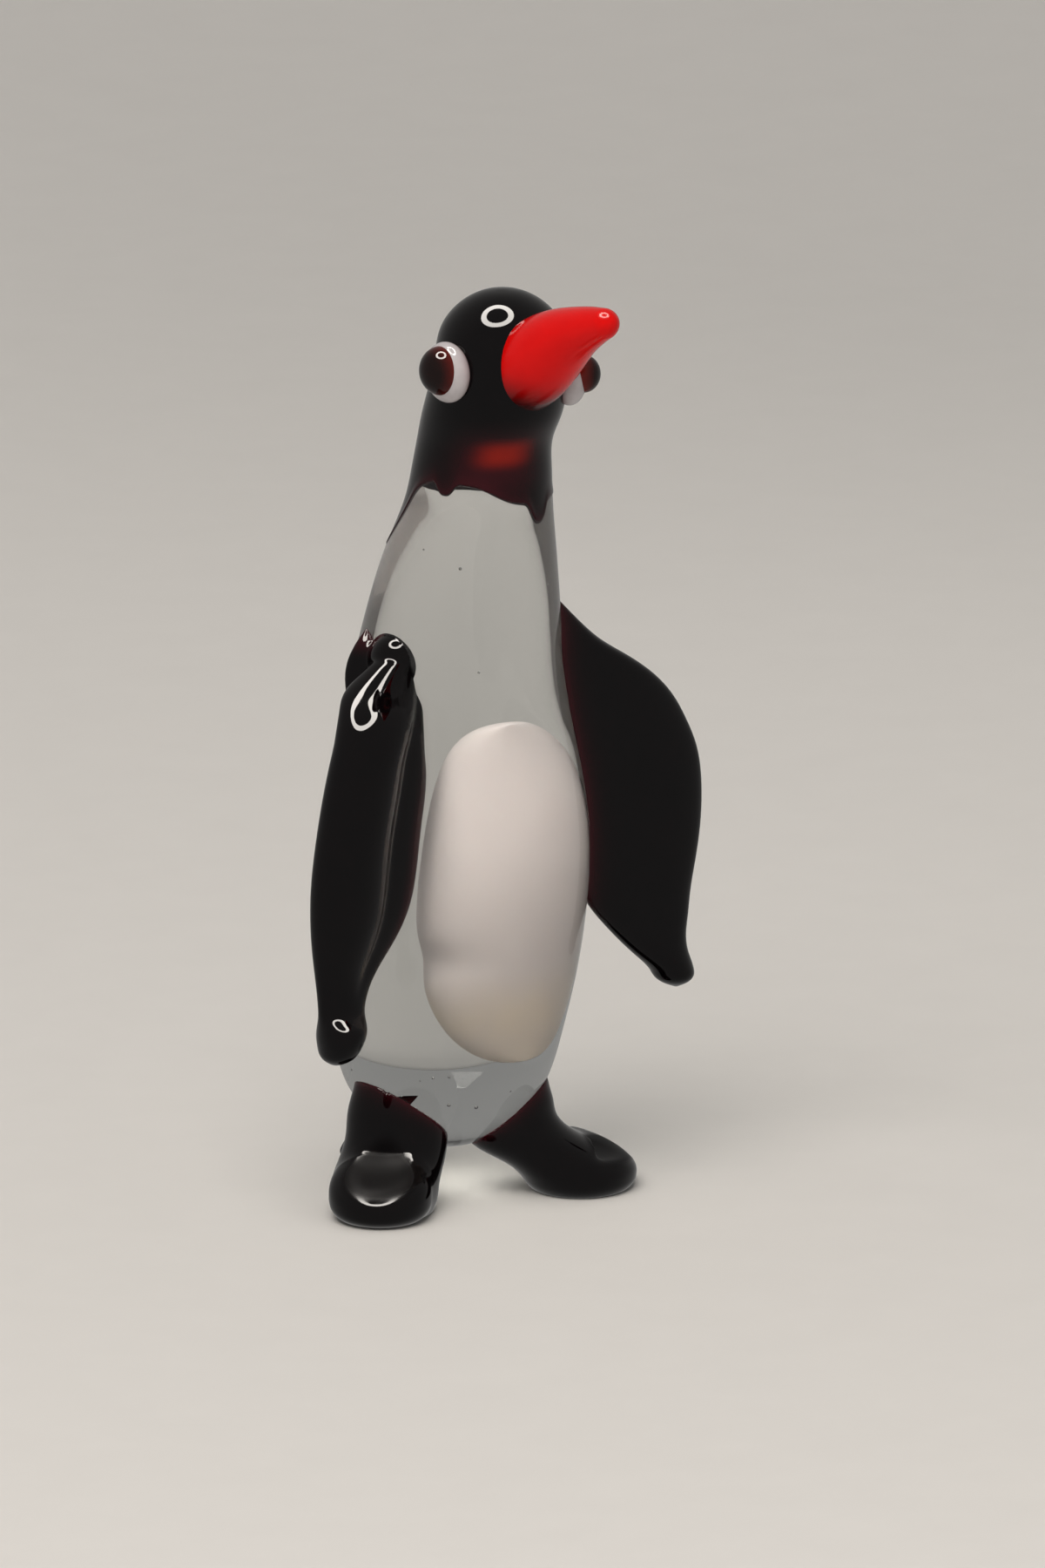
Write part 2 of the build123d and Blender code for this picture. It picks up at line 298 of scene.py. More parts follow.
clear_glass = make_clear_glass()
print("made", clear_glass.name)

# %% [markdown]
# ## Opal white glass
# The bean is opal glass, milky because tiny crystals scatter light inside it. It is cased, so it has no
# shine of its own. Its lower lobe is a little creamy, and painted light bounced up from the floor makes it
# lighter.

# %% Opal white


def make_opal_white():
    """Cream tone and painted bounce light down the white bean, with clouds 6 mm across and no gloss."""
    material, tree, output = new_material("opal_glass_cased")
    clouds = speckle(tree, 6.0, 2.0)
    # The cream layer is a cream tone and also painted bounce light, so it is lighter than the base.
    colour = layered(tree, "#dad3d1", [("cream_and_bounce_light", "#e6d8c2"), (clouds, "#d2cac8")])
    opal = add(tree, "ShaderNodeBsdfPrincipled",
               {"Roughness": 0.8, "IOR": 1.52, "Specular IOR Level": 0.0, "Subsurface Weight": 0.4,
                "Subsurface Radius": (1.0, 0.9, 0.85), "Subsurface Scale": 0.6 * MM},
               {"Base Color": colour})
    tree.links.new(opal.outputs[0], output.inputs["Surface"])
    return material


opal_white = make_opal_white()
print("made", opal_white.name)

# %% [markdown]
# ## Black glass that is really dark amethyst
# Black soft glass is a violet so deep that only its thin edges let light through, and there it looks
# maroon. Each mesh carries a mark for how thin the glass is and another for where light shines right
# through, and the colour follows them. The gathers were melted smooth in the flame. Only the feet were
# pressed with a cold tool, so they get a second finish, where a third mark makes the skin duller and
# less of a mirror.

# %% Black amethyst
polished_roughness, pressed_roughness = 0.03, 0.38
polished_mirror, pressed_mirror = 0.27, 0.06


def make_black_glass(name):
    """Near black with swirls 1.6 mm across, maroon where it is marked thin, red where it glows."""
    material, tree, output = new_material(name)
    swirl = speckle(tree, 1.6, 3.0)
    colour = layered(tree, "#020102", [(swirl, "#080405"), ("thin", "#360a12"), ("glow", "#8a1a0e")])
    waves = speckle(tree, 2.2, 1.0)
    relief = add(tree, "ShaderNodeBump", {"Strength": 0.4, "Distance": 0.03 * MM}, {"Height": waves})
    glass = add(tree, "ShaderNodeBsdfPrincipled",
                {"IOR": 1.50, "Roughness": polished_roughness, "Specular IOR Level": polished_mirror},
                {"Base Color": colour, "Normal": relief.outputs["Normal"]})
    tree.links.new(glass.outputs[0], output.inputs["Surface"])
    return material, tree, glass


def dull_where_pressed(tree, glass):
    """Roughness and mirror strength run from the polished to the pressed value with the mark."""
    pressed = add(tree, "ShaderNodeAttribute", {"attribute_name": "pressed"}).outputs["Fac"]
    ranges = {"Roughness": (polished_roughness, pressed_roughness),
              "Specular IOR Level": (polished_mirror, pressed_mirror)}
    for socket, (polished, dull) in ranges.items():
        between = add(tree, "ShaderNodeMapRange", {"To Min": polished, "To Max": dull}, {"Value": pressed})
        tree.links.new(between.outputs["Result"], glass.inputs[socket])


black_glass = make_black_glass("black_amethyst_glass_fire_polished")[0]
pressed_glass, pressed_tree, pressed_shader = make_black_glass("black_amethyst_glass_tool_pressed")
dull_where_pressed(pressed_tree, pressed_shader)
print("made", black_glass.name, pressed_glass.name)

# %% [markdown]
# ## Opaque red, eye white and the brown of the pupils
# The beak is cadmium red glass, opaque and slightly translucent at the tip. The whites of the eyes are
# dots of white rod, greyer than the bean because they are thin over black. The pupils are dark
# amethyst again, brown-red where they lie thin on the white.

# %% Red glass


def make_red_glass():
    """Saturated red with faint clouds 1.8 mm across, darker where it is marked as root."""
    material, tree, output = new_material("cadmium_red_glass_fire_polished")
    clouds = speckle(tree, 1.8, 2.0)
    colour = layered(tree, "#d80505", [(clouds, "#e20a08"), ("root", "#2e0404")])
    glass = add(tree, "ShaderNodeBsdfPrincipled",
                {"Roughness": 0.16, "IOR": 1.50, "Specular IOR Level": 0.22, "Subsurface Weight": 0.12,
                 "Subsurface Radius": (1.0, 0.12, 0.08), "Subsurface Scale": 0.8 * MM},
                {"Base Color": colour})
    tree.links.new(glass.outputs[0], output.inputs["Surface"])
    return material


red_glass = make_red_glass()
print("made", red_glass.name)

# %% Eye white and pupil glass


def make_eye_white():
    """Greyish white with clouds 0.8 mm across, rosy where it is marked thin."""
    material, tree, output = new_material("white_soda_glass_dot")
    clouds = speckle(tree, 0.8, 2.0)
    colour = layered(tree, "#c9c5c7", [(clouds, "#b4aeb1"), ("thin", "#94787c")])
    glass = add(tree, "ShaderNodeBsdfPrincipled",
                {"Roughness": 0.06, "IOR": 1.50, "Specular IOR Level": 0.3}, {"Base Color": colour})
    tree.links.new(glass.outputs[0], output.inputs["Surface"])
    return material


def make_pupil_glass():
    """Brown-black with clouds 0.7 mm across, brown-red where it is marked thin."""
    material, tree, output = new_material("dark_amethyst_glass_dot")
    clouds = speckle(tree, 0.7, 2.0)
    colour = layered(tree, "#0b0505", [(clouds, "#1c0a08"), ("thin", "#6e1c14")])
    glass = add(tree, "ShaderNodeBsdfPrincipled",
                {"Roughness": 0.04, "IOR": 1.50, "Specular IOR Level": 0.3}, {"Base Color": colour})
    tree.links.new(glass.outputs[0], output.inputs["Surface"])
    return material


eye_white = make_eye_white()
pupil_glass = make_pupil_glass()
print("made", eye_white.name, pupil_glass.name)

# %% [markdown]
# ## The form of the body
# Belly, neck and head are one gather, round at every height, leaning forwards as it rises. Its profile
# is given by a height, a radius and a reach forwards, as shares of a few driving sizes, and ends in the
# round of the head. Everything that was melted onto the body is seated on this form.

# %% Profile of the body
head_radius, neck_radius, belly_radius = 5.0, 5.1, 9.8
head_reach, tip_lift = 6.1, 3.2
head_height = crown_height - head_radius
head_centre = np.array([0.0, -head_reach, head_height])
# Height share from tip to head centre, radius share of the belly, reach share of the head
belly_shares = [(0.000, 0.05, -0.09), (0.009, 0.25, -0.11), (0.030, 0.49, -0.13), (0.078, 0.75, -0.15),
                (0.145, 0.87, -0.10), (0.215, 0.94, -0.02), (0.295, 0.99, 0.05), (0.375, 1.00, 0.105),
                (0.460, 0.965, 0.09), (0.550, 0.865, 0.09), (0.640, 0.765, 0.17), (0.700, 0.705, 0.265),
                (0.760, 0.632, 0.39)]
# The same, with the radius as a share of the neck
neck_shares = [(0.818, 1.066, 0.533), (0.855, 1.015, 0.587), (0.894, 0.985, 0.660),
               (0.923, 1.015, 0.785), (0.962, 1.004, 0.920)]
crown_angles = np.radians([0.0, 24.0, 45.0, 63.0, 77.0, 87.0])
profile_steps = 1800

span = head_height - tip_lift
rows = [(tip_lift + span * up, belly_radius * wide, head_reach * ahead)
        for up, wide, ahead in belly_shares]
rows += [(tip_lift + span * up, neck_radius * wide, head_reach * ahead)
         for up, wide, ahead in neck_shares]
rows += [(head_height + head_radius * np.sin(climb), head_radius * np.cos(climb), head_reach)
         for climb in crown_angles]
rows = np.array(rows)
stations = np.concatenate([[0], np.cumsum(np.hypot(np.diff(rows[:, 0]), np.diff(rows[:, 1])))])
profile_run = np.linspace(0, stations[-1], profile_steps)
profile_height, profile_radius, profile_reach = spline(stations, rows, profile_run).T
profile_height = np.minimum(profile_height, crown_height)
print("profile:", profile_run[-1].round(1), "mm long, widest radius:", profile_radius.max().round(2))

# %% Points on the form, and depth inside it


def on_form(run, angle, inset):
    """The point at a run along the profile and an angle round it, moved in square to the profile."""
    height = np.interp(run, profile_run, profile_height)
    radius = np.interp(run, profile_run, profile_radius)
    reach = np.interp(run, profile_run, profile_reach)
    rise = np.gradient(profile_height, profile_run)
    widen = np.gradient(profile_radius, profile_run)
    radius = radius - inset * np.interp(run, profile_run, rise)
    height = height + inset * np.interp(run, profile_run, widen)
    flat = np.cos(angle)[..., None] * nearward + np.sin(angle)[..., None] * rightward
    middle = np.stack([0 * reach, -reach, height], axis=-1)
    return middle + radius[..., None] * flat


def middle_of_form(points):
    """The middle of the form at each point's height, or the middle of the head above it."""
    reach = np.interp(points[..., 2], profile_height, profile_reach)
    return np.stack([0 * reach, -reach, np.minimum(points[..., 2], head_height)], axis=-1)


def depth_in_form(points):
    """The form's radius at a point's height, less the point's distance from the middle."""
    radius = np.interp(points[..., 2], profile_height, profile_radius, left=-belly_radius)
    radius = np.where(points[..., 2] > head_height, head_radius, radius)
    return radius - np.linalg.norm(points - middle_of_form(points), axis=-1)


def seat_on_form(points, depth):
    """Points deeper than a depth go straight out from the middle to it, as a melted joint does."""
    out = points - middle_of_form(points)
    out = out / np.maximum(np.linalg.norm(out, axis=-1, keepdims=True), 1e-6)
    return points + out * np.maximum(depth_in_form(points) - depth, 0)[..., None]


print("depth of the head's middle:", depth_in_form(head_centre).round(2), "mm")

# %% [markdown]
# ## The rim of the hood
# The hood was a blob of black glass that ran down over the head while hot. Its edge is a wavy line with
# blunt drips and one long thin run down the neck on the penguin's right. The line is a height for each
# angle round the neck: a smooth base with a bell-shaped dip for each drip.

# %% Height of the rim round the neck
# Angle in degrees from the photographed side, height in mm
rim_points = [(-180, 54.0), (-150, 54.2), (-130, 53.6), (-112, 51.6), (-95, 49.8), (-82, 51.6),
              (-70, 54.0), (-53, 55.6), (-41, 56.0), (-22, 56.0), (0, 55.66), (22, 54.7), (37, 54.3),
              (60, 54.1), (90, 54.0), (120, 53.8), (150, 53.6), (180, 54.0)]
# Angle, depth in mm and half width in degrees
drips = [(-31, 1.0, 8.5), (55, 1.5, 10.0), (140, 1.3, 10.0), (-165, 0.9, 9.0)]


def rim_height(angle):
    """The spline through the rim's points, less a bell curve for each drip."""
    degrees = np.degrees((angle + np.pi) % (2 * np.pi) - np.pi)
    knots, heights = np.array(rim_points, float).T
    height = spline(knots, heights, degrees)[..., 0]
    for middle, depth, width in drips:
        away = (degrees - middle + 180) % 360 - 180
        height = height - depth * np.exp(-np.abs(away / width) ** 3)
    return height


def rim_run(angle):
    """Where the rim crosses the profile at each angle."""
    return np.interp(rim_height(angle), profile_height, profile_run)


print("rim from", rim_height(np.linspace(-np.pi, np.pi, 361)).min().round(1), "mm up")

# %% [markdown]
# ## The clear body
# This is the whole form in one closed shell, drawn in under the hood so that black lies over clear
# without a gap. A few seeds, which are bubbles that every hand-made gather traps, are hollow balls in
# the same mesh, so that light leaves the glass where it enters them.

# %% Clear body
around_body, along_body = 256, 360
hood_wall, hood_seat, seat_ramp = 0.5, 0.35, 0.6
seed_count, smallest_seed, largest_seed = 14, 0.05, 0.13
# Low in the belly and up the neck, how far round in radians, and how far under the skin
seed_bands, seed_turn, seed_insets = [(6, 12), (38, 52)], 2.2, (0.6, 2.4)


def make_clear_body():
    """Rings of the form, each a radius about the leaning middle, with the hood's seat taken off."""
    angle = np.linspace(-np.pi, np.pi, around_body, endpoint=False)[None, :]
    run = np.linspace(0, profile_run[-1], along_body)[:, None]
    inset = hood_seat * ease((run - rim_run(angle)) / seat_ramp)
    rings = on_form(run + 0 * angle, angle + 0 * run, inset)
    tip = np.array([0, -profile_reach[0], profile_height[0]])
    crown = np.array([0, -head_reach, crown_height - hood_seat])
    return shell(rings, tip, crown)


def make_seeds():
    """Hollow balls low in the belly and up the neck, a little under the skin."""
    dice = np.random.default_rng(7)
    seeds = []
    for _ in range(seed_count):
        height = dice.choice([dice.uniform(*band) for band in seed_bands])
        size = dice.uniform(smallest_seed, largest_seed)
        run = np.array(np.interp(height, profile_height, profile_run))
        turn = np.array(dice.uniform(-seed_turn, seed_turn))
        middle = on_form(run, turn, dice.uniform(*seed_insets))
        seeds.append(shell(middle + size * ball_rings(8, 12), middle + size * upward,
                           middle - size * upward, hollow=True))
    return seeds


add_piece("clear_body", [make_clear_body(), *make_seeds()], clear_glass, ["body_glass"])

# %% [markdown]
# ## The white bean inside
# A gather of opal glass was laid on the front of the body and cased with more clear glass. It follows
# the front of the belly, with a fuller lower lobe and a shallow waist above it. Seen through the round
# body it looks wider than it is, so its width was set by looking at the finished picture.

# %% Opal bean
bean_middle, bean_half_height = 24.3, 13.1
bean_half_width, bean_half_depth, bean_casing = 6.5, 4.2, 0.75
bean_fullness_below, bean_fullness_above = 0.74, 0.86
along_bean, around_bean = 92, 128
waist_height, waist_half_height, waist_depth = 19.6, 1.7, 0.6
# Where the cream tone and painted bounce light start, and over how many millimetres
cream_and_bounce_top, cream_and_bounce_fade = 19.5, 5.0
# Height and how far the bean's middle line is to the penguin's left
bean_line = [(11.2, 1.3), (14.0, 0.85), (17.7, 0.45), (23.0, 0.4), (28.0, 0.45), (34.0, -0.1),
             (37.4, -1.0)]


def make_bean():
    """Level ovals whose size is a power of a cosine, each set back from the front of the form."""
    lift = np.linspace(-np.pi / 2, np.pi / 2, along_bean)[1:-1, None]
    turn = np.linspace(0, 2 * np.pi, around_bean, endpoint=False)[None, :]
    height = bean_middle + bean_half_height * np.sin(lift)
    size = np.cos(lift) ** np.where(lift < 0, bean_fullness_below, bean_fullness_above)
    front = (np.interp(height, profile_height, profile_radius)
             + np.interp(height, profile_height, profile_reach) - bean_casing)
    waist = waist_depth * np.exp(-((height - waist_height) / waist_half_height) ** 2)
    right = bean_half_width * size - waist * np.clip(-np.cos(turn), 0, 1)
    line_heights, line_sides = np.array(bean_line).T
    aside = spline(line_heights, line_sides, height[:, 0])
    x = aside + right * np.cos(turn)
    y = bean_half_depth * size * (1 + np.sin(turn)) - front
    rings = np.stack([x, y, height + 0 * turn], axis=-1)
    ends = [np.array([aside[row, 0], rings[row, :, 1].mean(), bean_middle + side * bean_half_height])
            for row, side in ((0, -1), (-1, 1))]
    return shell(rings, *ends)


def cream_and_bounce_share(points):
    """Share of cream tone and painted bounce light: it grows downwards over the lower third."""
    return ease((cream_and_bounce_top - points[:, 2]) / cream_and_bounce_fade)


# The lower lobe carries a cream tone and painted bounce light from the floor.
add_piece("opal_bean", [make_bean()], opal_white, ["belly_core"],
          {"cream_and_bounce_light": cream_and_bounce_share})

# %% [markdown]
# ## The hood
# The hood is a closed cap: its skin is the form itself, its lining lies half a millimetre in, and a
# rounded rim joins them along the wavy line. A Solidify modifier could give the wall as well, but here
# the rim can swell a little, as a melted edge does. Under the beak the glass is thin and lets red
# light through.

# %% Lining, rim and skin of the hood
rim_bulge, rim_lip, lip_fade = 0.28, 0.06, 0.5
# The rows gather towards the rim by a power, because the wavy line needs them there
along_hood, rim_steps, crowding = 150, 11, 1.3


def make_hood():
    """From the crown down the lining, round the rim and up the skin, as one run for each angle."""
    angle = np.linspace(-np.pi, np.pi, around_body, endpoint=False)[None, :]
    rim = rim_run(angle)
    climb = np.linspace(0, 1, along_hood)[:, None] ** crowding
    round_rim = np.linspace(-np.pi / 2, np.pi / 2, rim_steps)[1:-1, None]
    full = profile_run[-1]
    lining = on_form(rim + (full - rim) * climb[::-1], angle + 0 * climb,
                     hood_wall + 0 * climb + 0 * angle)
    edge_run = rim - rim_bulge * np.cos(round_rim)
    edge_inset = hood_wall / 2 - (hood_wall / 2 + rim_lip) * np.sin(round_rim) + 0 * angle
    edge = on_form(edge_run, angle + 0 * round_rim, edge_inset)
    run = rim + (full - rim) * climb
    skin = on_form(run, angle + 0 * climb, -rim_lip * np.exp(-((run - rim) / lip_fade) ** 2))
    rings = np.concatenate([lining, edge, skin])
    crown = np.array([0, -head_reach, crown_height])
    return shell(rings, crown - hood_wall * upward, crown)


hood_shell = make_hood()
print("points on the hood:", len(hood_shell[0]))

# %% Where the hood is thin
# Angle, height, half width and half height of the thin throat and of the spot where light comes through
throat_spot = (np.radians(14.0), 57.4, 3.4, 2.3)
glow_spot = (np.radians(17.0), 58.1, 1.95, 0.95)


def angle_of(points):
    """The angle of each point round the form, from the photographed side."""
    out = points - middle_of_form(points)
    return np.arctan2(out @ rightward, out @ nearward)


def patch(points, angle, height, half_width, half_height):
    """A flat-topped spot on the neck, sized in millimetres across and up."""
    across = neck_radius * ((angle_of(points) - angle + np.pi) % (2 * np.pi) - np.pi)
    up = points[:, 2] - height
    return np.exp(-np.abs(across / half_width) ** 3 - np.abs(up / half_height) ** 3)


def hood_thin(points):
    """Thin along the rim and over the throat."""
    above_rim = points[:, 2] - rim_height(angle_of(points))
    return 0.6 * np.exp(-np.maximum(above_rim, 0) / 0.6) + 0.8 * patch(points, *throat_spot)


def hood_glow(points):
    """The spot where light comes straight through the throat."""
    return patch(points, *glow_spot)


add_piece("black_hood", [hood_shell], black_glass, ["hood"],
          {"thin": hood_thin, "glow": hood_glow})

# %% [markdown]
# ## The beak
# A stub of red rod was melted onto the face and pulled up and forwards to a blunt point. The horn is a
# row of circles along an arc, each square to the arc, and its root is seated in the wall of the hood.
# An arc was chosen over a bent cone, because the rod was pulled out in one even sweep.

# %% Beak
beak_length, beak_radius, beak_inset, beak_drop = 13.8, 3.05, 3.1, 1.8
beak_start_slope, beak_end_slope = np.radians(46.0), np.radians(15.0)
# Beak and eyes end in the middle of the hood's wall
wall_middle = hood_wall / 2
# Where the dark of the root starts above the head's middle, how far down and how far out it fades
root_top, root_fade, root_reach = 0.6, 3.6, 2.4
# Share of the length, share of the radius
beak_shares = [(0.00, 0.90), (0.16, 1.00), (0.32, 0.97), (0.50, 0.82), (0.68, 0.62), (0.84, 0.46),
               (0.94, 0.36), (1.00, 0.31)]
beak_round = 0.08
along_beak, around_beak, tip_crowding = 110, 96, 1.6
beak_start = head_centre + np.array([0.0, beak_inset - head_radius, -beak_drop])


def beak_line(share):
    """The middle of the horn on its arc, and its upward slope, at a share of the length."""
    arc = beak_length / (beak_start_slope - beak_end_slope)
    slope = beak_start_slope + (beak_end_slope - beak_start_slope) * share
    ahead = arc * (np.sin(beak_start_slope) - np.sin(slope))
    rise = arc * (np.cos(slope) - np.cos(beak_start_slope))
    return beak_start + np.stack([0 * share, -ahead, rise], axis=-1), slope


def make_beak():
    """Circles square to the arc, whose radius follows the shares and closes like an egg at the tip."""
    share = 1 - np.linspace(1, 0, along_beak)[:-1] ** tip_crowding
    known, size = np.array(beak_shares).T
    to_tip = np.clip((1 - share) / beak_round, 0, 1)
    radius = spline(known, size, share)[:, 0] * np.sqrt(to_tip * (2 - to_tip))
    middle, slope = beak_line(share)
    turn = np.linspace(0, 2 * np.pi, around_beak, endpoint=False)
    side = np.array([1.0, 0.0, 0.0])
    up = np.stack([0 * slope, np.sin(slope), np.cos(slope)], axis=-1)
    rings = (middle[:, None] + beak_radius * radius[:, None, None]
             * (np.cos(turn)[None, :, None] * side + np.sin(turn)[None, :, None] * up[:, None]))
    points, quads, fans = shell(rings, middle[0], beak_line(np.array(1.0))[0])
    return seat_on_form(points, wall_middle), quads, fans


def beak_root(points):
    """Darker where the lower root thins out over the black hood."""
    out = -depth_in_form(points)
    low = ease((head_height + root_top - points[:, 2]) / root_fade)
    return low * np.exp(-(np.maximum(out, 0) / root_reach) ** 2)


add_piece("red_beak", [make_beak()], red_glass, ["beak"], {"root": beak_root})

# %% [markdown]
# ## The eyes
# Each eye is two dots of glass touched onto the head one after the other: a flattened white bead, and a
# smaller dark ball on it that stands out sideways. Both are balls squashed along the direction in which
# the eye looks. A ball is enough here, because a drop of glass rounds itself. The two eyes sit at
# different places, as they do on the real one.

# %% A squashed bead
bead_stretch = 1.06


def bead(middle, direction, radius, depth):
    """A ball squashed along a level direction and stretched a little upwards."""
    across = np.cross(direction, upward)

    def squash(ball):
        """The ball's three parts, each times its own half size."""
        part = ball * np.array([radius, bead_stretch * radius, depth])
        return middle + part[..., :1] * across + part[..., 1:2] * upward + part[..., 2:] * direction

    points, quads, fans = shell(squash(ball_rings(60, 96)), squash(upward), squash(-upward))
    return seat_on_form(points, wall_middle), quads, fans


print("a bead of radius 1 mm is", 2 * bead_stretch, "mm tall")

# %% Eyes
# Turn from the front in degrees, drop, white radius, pupil radius, pupil standoff, pupil raise
eyes = {"right": (-87.0, 0.50, 2.15, 1.74, 0.52, 0.20), "left": (55.0, 1.95, 1.80, 1.33, 1.08, 0.45)}
white_half_depth, white_standoff, pupil_depth = 1.3, 0.33, 0.94
white_fade, pupil_thin_end, pupil_fade = 0.25, 0.75, 1.1


def make_eye(side):
    """The white bead and the dark ball of one eye, with the ball brown-red where it meets the white."""
    turn, drop, white_radius, pupil_radius, standoff, raised = eyes[side]
    turn = np.radians(turn)
    direction = np.array([np.sin(turn), -np.cos(turn), 0.0])
    surface = np.sqrt(head_radius**2 - drop**2)
    middle = head_centre + direction * (surface + white_standoff) - drop * upward
    pupil = middle + direction * standoff + raised * upward

    def white_thin(points):
        """Rosy at the rim, where the bead is thin over black."""
        return np.exp(-np.maximum(-depth_in_form(points), 0) / white_fade)

    def pupil_thin(points):
        """Thin close to the white bead."""
        along = (points - pupil) @ direction / pupil_radius
        return ease((pupil_thin_end - along) / pupil_fade)

    white_bead = bead(middle, direction, white_radius, white_half_depth)
    dark_ball = bead(pupil, direction, pupil_radius, pupil_depth * pupil_radius)
    add_piece(f"{side}_eye_white", [white_bead], eye_white, [f"eye_white_{side}"],
              {"thin": white_thin})
    add_piece(f"{side}_pupil", [dark_ball], pupil_glass, [f"pupil_{side}"],
              {"thin": pupil_thin})


for side in eyes:
    make_eye(side)

# %% [markdown]
# ## The wings
# Each wing is one gather that was laid on at the shoulder, drawn down, squeezed with a tool and left
# with a small ball at its end. A wing is a row of flat sections down a leaning line. The right one is
# a thick leaf with a round rib along its outer edge and a lower flange beside the body, and the left
# one is a paddle.

# %% Sections of the wings
# Drop share, outward share, forward share, chord share and thickness share
right_shares = [
    (0.050, -0.06, 0.42, 0.10, 0.16), (0.063, -0.04, 0.44, 0.28, 0.42), (0.085, 0.03, 0.47, 0.44, 0.60),
    (0.110, 0.115, 0.51, 0.61, 0.71), (0.135, 0.205, 0.58, 0.74, 0.81), (0.169, 0.305, 0.745, 0.81, 0.90),
    (0.200, 0.37, 0.85, 0.84, 0.95), (0.235, 0.42, 0.92, 0.87, 0.99), (0.270, 0.46, 0.96, 0.91, 1.00),
    (0.318, 0.49, 0.98, 0.97, 1.00), (0.456, 0.585, 0.99, 1.02, 0.98), (0.573, 0.65, 0.99, 1.02, 0.93),
    (0.654, 0.70, 0.99, 0.95, 0.85), (0.737, 0.775, 0.96, 0.76, 0.70), (0.815, 0.86, 0.94, 0.53, 0.53)]
right_tip_shares = [
    (0.855, 0.89, 0.95, 1.12, 0.66), (0.880, 0.91, 0.98, 1.06, 0.76), (0.902, 0.93, 1.03, 1.05, 1.12),
    (0.930, 0.955, 1.05, 1.01, 1.24), (0.962, 0.975, 1.04, 0.85, 1.06), (0.987, 0.99, 1.02, 0.54, 0.65),
    (1.000, 0.995, 1.01, 0.12, 0.14)]
left_shares = [
    (0.000, 0.00, 0.64, 0.08, 0.30), (0.055, 0.02, 0.74, 0.27, 0.80), (0.100, 0.08, 0.81, 0.41, 1.00),
    (0.142, 0.18, 0.85, 0.57, 1.00), (0.195, 0.31, 0.88, 0.73, 1.00), (0.255, 0.41, 0.90, 0.86, 1.00),
    (0.320, 0.485, 0.91, 0.94, 1.00), (0.395, 0.55, 0.92, 1.00, 1.00), (0.485, 0.595, 0.93, 1.00, 1.00),
    (0.590, 0.63, 0.94, 0.93, 1.00), (0.680, 0.64, 0.95, 0.84, 1.00), (0.755, 0.66, 0.96, 0.73, 1.00),
    (0.820, 0.73, 0.97, 0.58, 1.00), (0.865, 0.79, 0.98, 0.46, 1.05)]
left_tip_shares = [
    (0.912, 0.880, 0.99, 1.27, 0.86), (0.955, 0.97, 1.00, 1.00, 1.00), (0.988, 1.00, 1.00, 0.58, 0.62),
    (1.000, 1.01, 1.00, 0.12, 0.14)]
print("sections that are given:", len(right_shares + right_tip_shares + left_shares + left_tip_shares))

# %% A wing from its sections
# How deep a gather reaches into the one that it is melted to
contact_depth = 0.05
wing_steps, around_wing = 280, 160


def wing_lines(shares, start, travel, half_chord, half_thickness, steps, tip_shares=(), tip_radius=0.0):
    """Middle, half chord and half thickness down the wing, as splines over the drop."""
    table = [(drop, out, ahead, half_chord * wide, half_thickness * thick)
             for drop, out, ahead, wide, thick in shares]
    table += [(drop, out, ahead, tip_radius * wide, tip_radius * thick)
              for drop, out, ahead, wide, thick in tip_shares]
    table = np.array(table)
    drop = table[0, 0] + (1 - table[0, 0]) * (1 - np.cos(np.linspace(0, np.pi, steps))) / 2
    out, forward, chord, thickness = spline(table[:, 0], table[:, 1:], drop).T
    middle = start + np.stack([travel[0] * out, travel[1] * forward, travel[2] * drop], axis=-1)
    return drop, middle, chord, thickness


def make_wing(lines, turn, front, rear):
    """Flat sections: along the chord by a cosine, and across by the thickness rule of each side."""
    drop, middle, half_chord, half_thickness = lines
    turn = np.radians(turn)
    chord = np.array([np.cos(turn), np.sin(turn), 0.0])
    out = np.array([chord[1], -chord[0], 0.0])
    around = np.linspace(0, 2 * np.pi, around_wing, endpoint=False)[None, :]
    along = np.cos(around)
    swell = np.where(np.sin(around) > 0, front(along, drop[:, None]), -rear(along, drop[:, None]))
    rings = (middle[:, None] + (half_chord[:, None] * along)[..., None] * chord
             + (half_thickness[:, None] * swell)[..., None] * out)
    return shell(rings, middle[0], middle[-1])


def seated(skin):
    """A skin whose buried part is drawn out to just under the body's surface."""
    points, quads, fans = skin
    return seat_on_form(points, contact_depth), quads, fans


print("points on a wing:", wing_steps * around_wing + 2)

# %% [markdown]
# ## The right wing
# Its front is the union of a round rib, which reaches the outer edge, and a lower flange beside the
# body. A soft crease between them catches a thin line of light. A thin web closes the gap behind the
# shoulder, and a knob of glass is left where the rod was pulled away. The three shells are fused into
# one skin on a fine grid and smoothed, because in a glossy surface a seam between shells is a hard line.

# %% Line and sections of the right wing
right_turn = -8.0
right_start = np.array([-7.45, 0.0, 44.5])
right_travel = (-7.8, -5.8, -31.4)
right_half_chord, right_half_thickness, right_tip_radius = 4.3, 2.3, 1.75
right_lines = wing_lines(right_shares, right_start, right_travel, right_half_chord,
                         right_half_thickness, wing_steps, right_tip_shares, right_tip_radius)
# The rib's middle, and its half width towards the body, down the wing as shares of the half chord
rib_drops = (0.0, 0.055, 0.10, 0.15, 0.21, 0.27, 0.37, 0.60, 1.0)
rib_middles = (0.05, 0.00, -0.06, -0.12, -0.19, -0.26, -0.31, -0.31, -0.25)
rib_halves = (1.00, 1.00, 0.98, 0.92, 0.82, 0.74, 0.69, 0.69, 0.75)
flange_share, crease_melt, rear_share = 0.45, 0.12, 0.85
# Drop share where the leaf starts to turn into the round tip, and over which share it does
right_round_from, right_round_over = 0.74, 0.14


def oval_half(along, drop=None):
    """Half of a round section, the same at every drop: the root of one less the square."""
    return np.sqrt(np.clip(1 - along**2, 0, 1))


